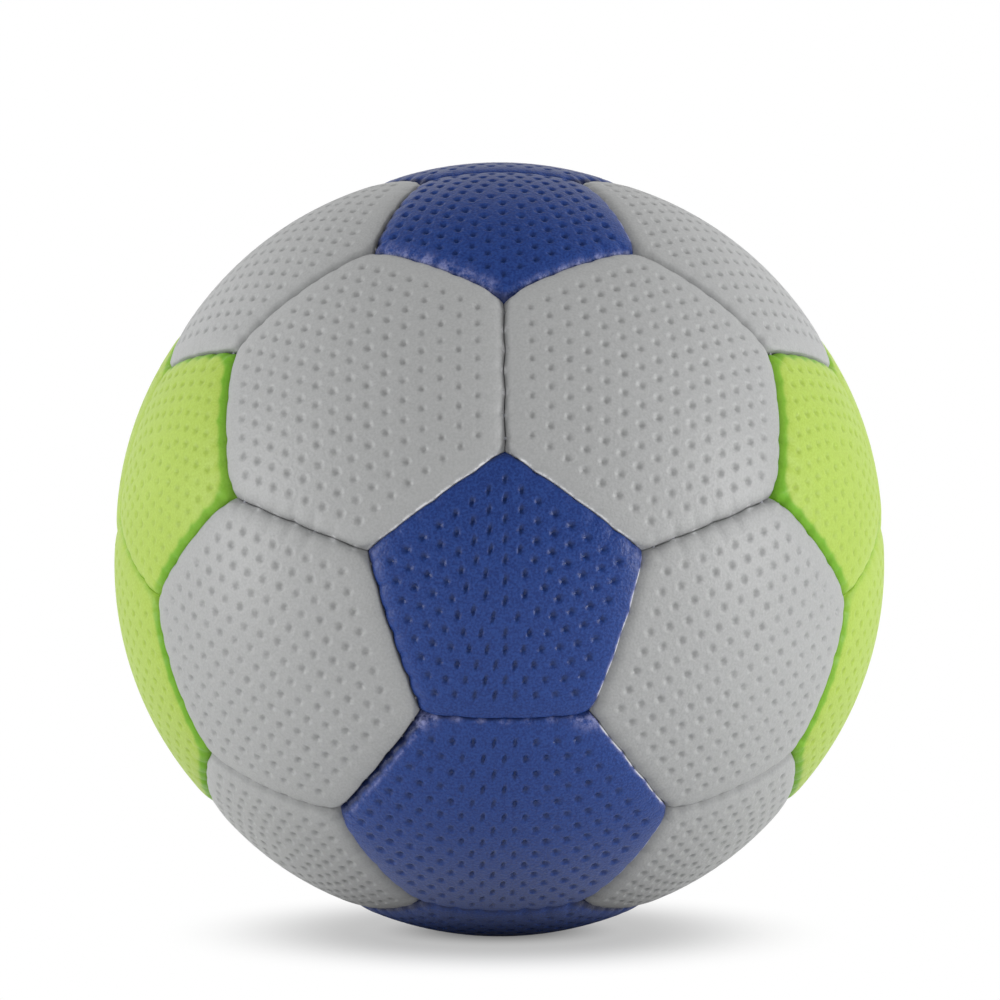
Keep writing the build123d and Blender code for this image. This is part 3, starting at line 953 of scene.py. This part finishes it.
insideNodes = dict(
    bladder=["bladder"],
    valve=["valve_housing", "valve_core"],
    foam=["hexagon_foam_pads", "pentagon_foam_pads", "valve_foam_pad"],
    lining=["hexagon_linings", "pentagon_linings", "valve_lining"],
)
for label, nodes in insideNodes.items():
    material = makeInsideMaterial(label)
    for node in nodes:
        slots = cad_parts[node].data.materials
        slots.clear()
        slots.append(material)
print("inside:", sum(len(nodes) for nodes in insideNodes.values()), "nodes")


# Floor: a wide white disc under the ball that fades into the white background
floorForm = dict(
    size=3.0,
    rows=24,
    around=96,
    behind=0.006,  # the painted shadow, and where it fades to white, lie a little behind the point of contact
    fadeFrom=0.03,  # the shadow fades to plain white between these distances
    fadeTo=0.08,
    lift=0.5,
    shade=0.4,  # painted shadow: less of the lift close to the point of contact
    shadeFrom=0.004,
    shadeTo=0.03,
    shadowToneFrom=0.03,  # painted shadow: the floor's colour is darker under the ball
    shadowToneTo=0.11,
    shadowTones=(0.03, 0.9),
    rough=0.9,
    mirror=(0.03, 0.9),  # what reflections see of the floor, from the edge of the dark outwards: painted shadow near the ball
    mirrorFrom=0.025,
    mirrorTo=0.05,
)


# A flat disc: radius grows with the square of the row's share, so rows lie close in the middle
def floorDisc():
    form = floorForm
    share = np.linspace(0, 1, form["rows"] + 1)[1:] ** 2 * form["size"]
    turns = np.arange(form["around"]) * 2 * math.pi / form["around"]
    rings = np.stack([share[:, None] * np.cos(turns), share[:, None] * np.sin(turns),
                      np.full((form["rows"], form["around"]), cadLow.z)], axis=-1)
    points = np.concatenate([[[0, 0, cadLow.z]], rings.reshape(-1, 3)])
    numbers = 1 + np.arange(form["rows"] * form["around"]).reshape(form["rows"], form["around"])
    fan = np.stack([np.zeros(form["around"], int), numbers[0], np.roll(numbers[0], -1)], axis=-1)
    return meshPiece("floor", points, np.concatenate([fan, stripTriangles(numbers[::-1])]))


def makeFloorMaterial():
    form = floorForm
    material, tree, shader = newMaterial("whiteFloor")
    place = addNode(tree, "ShaderNodeTexCoord").outputs["Object"]
    parts = addNode(tree, "ShaderNodeSeparateXYZ", Vector=place).outputs
    behind = maths(tree, "SUBTRACT", parts[1], form["behind"])
    reach = maths(tree, "SQRT", maths(tree, "ADD", maths(tree, "POWER", parts[0], 2.0),
                                      maths(tree, "POWER", behind, 2.0)))
    far = remap(tree, reach, form["fadeFrom"], form["fadeTo"])
    bare = remap(tree, reach, form["shadeFrom"], form["shadeTo"])
    light = addNode(tree, "ShaderNodeLightPath").outputs
    seen = maths(tree, "MAXIMUM", light["Is Camera Ray"],
                 maths(tree, "MAXIMUM", light["Is Glossy Ray"], light["Is Transmission Ray"]))
    white = addNode(tree, "ShaderNodeEmission", Color=(1, 1, 1, 1), Strength=1.0)
    # Painted shadow: the camera sees less of the floor's lift close to the point of contact
    under = maths(tree, "MULTIPLY_ADD", bare, form["shade"], form["lift"] - form["shade"])
    mirrored = maths(tree, "SUBTRACT", seen, light["Is Camera Ray"])
    # Painted shadow in reflections: they see a dark floor near the point of contact
    shadowedFloorGlow = remap(tree, reach, form["mirrorFrom"], form["mirrorTo"], *form["mirror"])
    shown = maths(tree, "ADD", maths(tree, "MULTIPLY", light["Is Camera Ray"], under),
                  maths(tree, "MULTIPLY", mirrored, shadowedFloorGlow))
    lift = addNode(tree, "ShaderNodeEmission", Color=(1, 1, 1, 1), Strength=shown)
    # Painted shadow: the floor's colour darkens under the ball
    clear = remap(tree, reach, form["shadowToneFrom"], form["shadowToneTo"])
    paintedShade = mixColour(tree, clear, *((paintedShade, paintedShade, paintedShade, 1) for paintedShade in form["shadowTones"]))
    setInputs(tree, shader, Base_Color=paintedShade, Roughness=form["rough"])
    lifted = addNode(tree, "ShaderNodeAddShader", i0=shader.outputs[0], i1=lift.outputs[0])
    share = maths(tree, "MULTIPLY", far, seen)
    mixed = addNode(tree, "ShaderNodeMixShader", i0=share, i1=lifted.outputs[0], i2=white.outputs[0])
    setInputs(tree, tree.nodes["Material Output"], Surface=mixed.outputs[0])
    return material


floor = floorDisc()
floor.data.materials.append(makeFloorMaterial())

# Studio: two soft boxes at the sides and a pale room
studio = dict(
    left=dict(place=(-0.94, -0.22, 0.08), size=(0.24, 0.48), power=3.55),
    right=dict(place=(0.94, -0.3, 0.08), size=(0.24, 0.48), power=4.85),
)
room = dict(
    strength=0.68,
    ceiling=0.1,  # the ceiling is darker by this share
    ceilingFrom=0.2,
    mirrored=0.2,  # what reflections see of the dim side behind the camera
    backdrop=0.5,  # the white backdrop comes in over this run behind the ball
    overhead=(0.55, 0.95),  # and ends between these heights
)
for label, lamp in studio.items():
    data = bpy.data.lights.new("softBox_" + label, "AREA")
    data.shape = "RECTANGLE"
    data.size, data.size_y = lamp["size"]
    data.energy = lamp["power"]
    softBox = bpy.data.objects.new("softBox_" + label, data)
    softBox.location = lamp["place"]
    towardsBall = -Vector(lamp["place"])
    softBox.rotation_euler = towardsBall.to_track_quat("-Z", "Y").to_euler()
    scene.collection.objects.link(softBox)

# The room: white where the camera looks and in the reflections of what lies behind the ball
world = bpy.data.worlds.new("whiteRoom")
world.use_nodes = True
scene.world = world
tree = world.node_tree
light = addNode(tree, "ShaderNodeLightPath").outputs
way = addNode(tree, "ShaderNodeTexCoord").outputs["Generated"]
wayParts = addNode(tree, "ShaderNodeSeparateXYZ", Vector=way).outputs
behindBall = remap(tree, wayParts[1], 0.0, room["backdrop"])
backdrop = maths(tree, "MULTIPLY", behindBall, remap(tree, wayParts[2], *room["overhead"], 1.0, 0.0))
mirrored = maths(tree, "MAXIMUM", light["Is Glossy Ray"], light["Is Transmission Ray"])
white = maths(tree, "MAXIMUM", light["Is Camera Ray"], maths(tree, "MULTIPLY", mirrored, backdrop))
ceiling = room["strength"] * (1 - room["ceiling"])
level = remap(tree, wayParts[2], room["ceilingFrom"], 1.0, room["strength"], ceiling)
dimmed = maths(tree, "SUBTRACT", 1.0, maths(tree, "MULTIPLY", mirrored, 1.0 - room["mirrored"]))
rest = maths(tree, "MULTIPLY", maths(tree, "MULTIPLY", level, dimmed), maths(tree, "SUBTRACT", 1.0, white))
setInputs(tree, tree.nodes["Background"], Color=(1, 1, 1, 1), Strength=maths(tree, "ADD", white, rest))

# Camera: level with the ball's centre, a hair to the left
view = dict(turn=-0.77, distance=0.673, lens=106.38, sensor=36.0, shift=(0.0007, 0.0489))
cameraData = bpy.data.cameras.new("camera")
cameraData.lens = view["lens"]
cameraData.sensor_width = view["sensor"]
cameraData.shift_x, cameraData.shift_y = view["shift"]
camera = bpy.data.objects.new("camera", cameraData)
turn = math.radians(view["turn"])
camera.location = (view["distance"] * math.sin(turn), -view["distance"] * math.cos(turn), 0.0)
camera.rotation_euler = (math.pi / 2, 0.0, turn)
scene.collection.objects.link(camera)
scene.camera = camera
print("studio: lights, floor and camera")
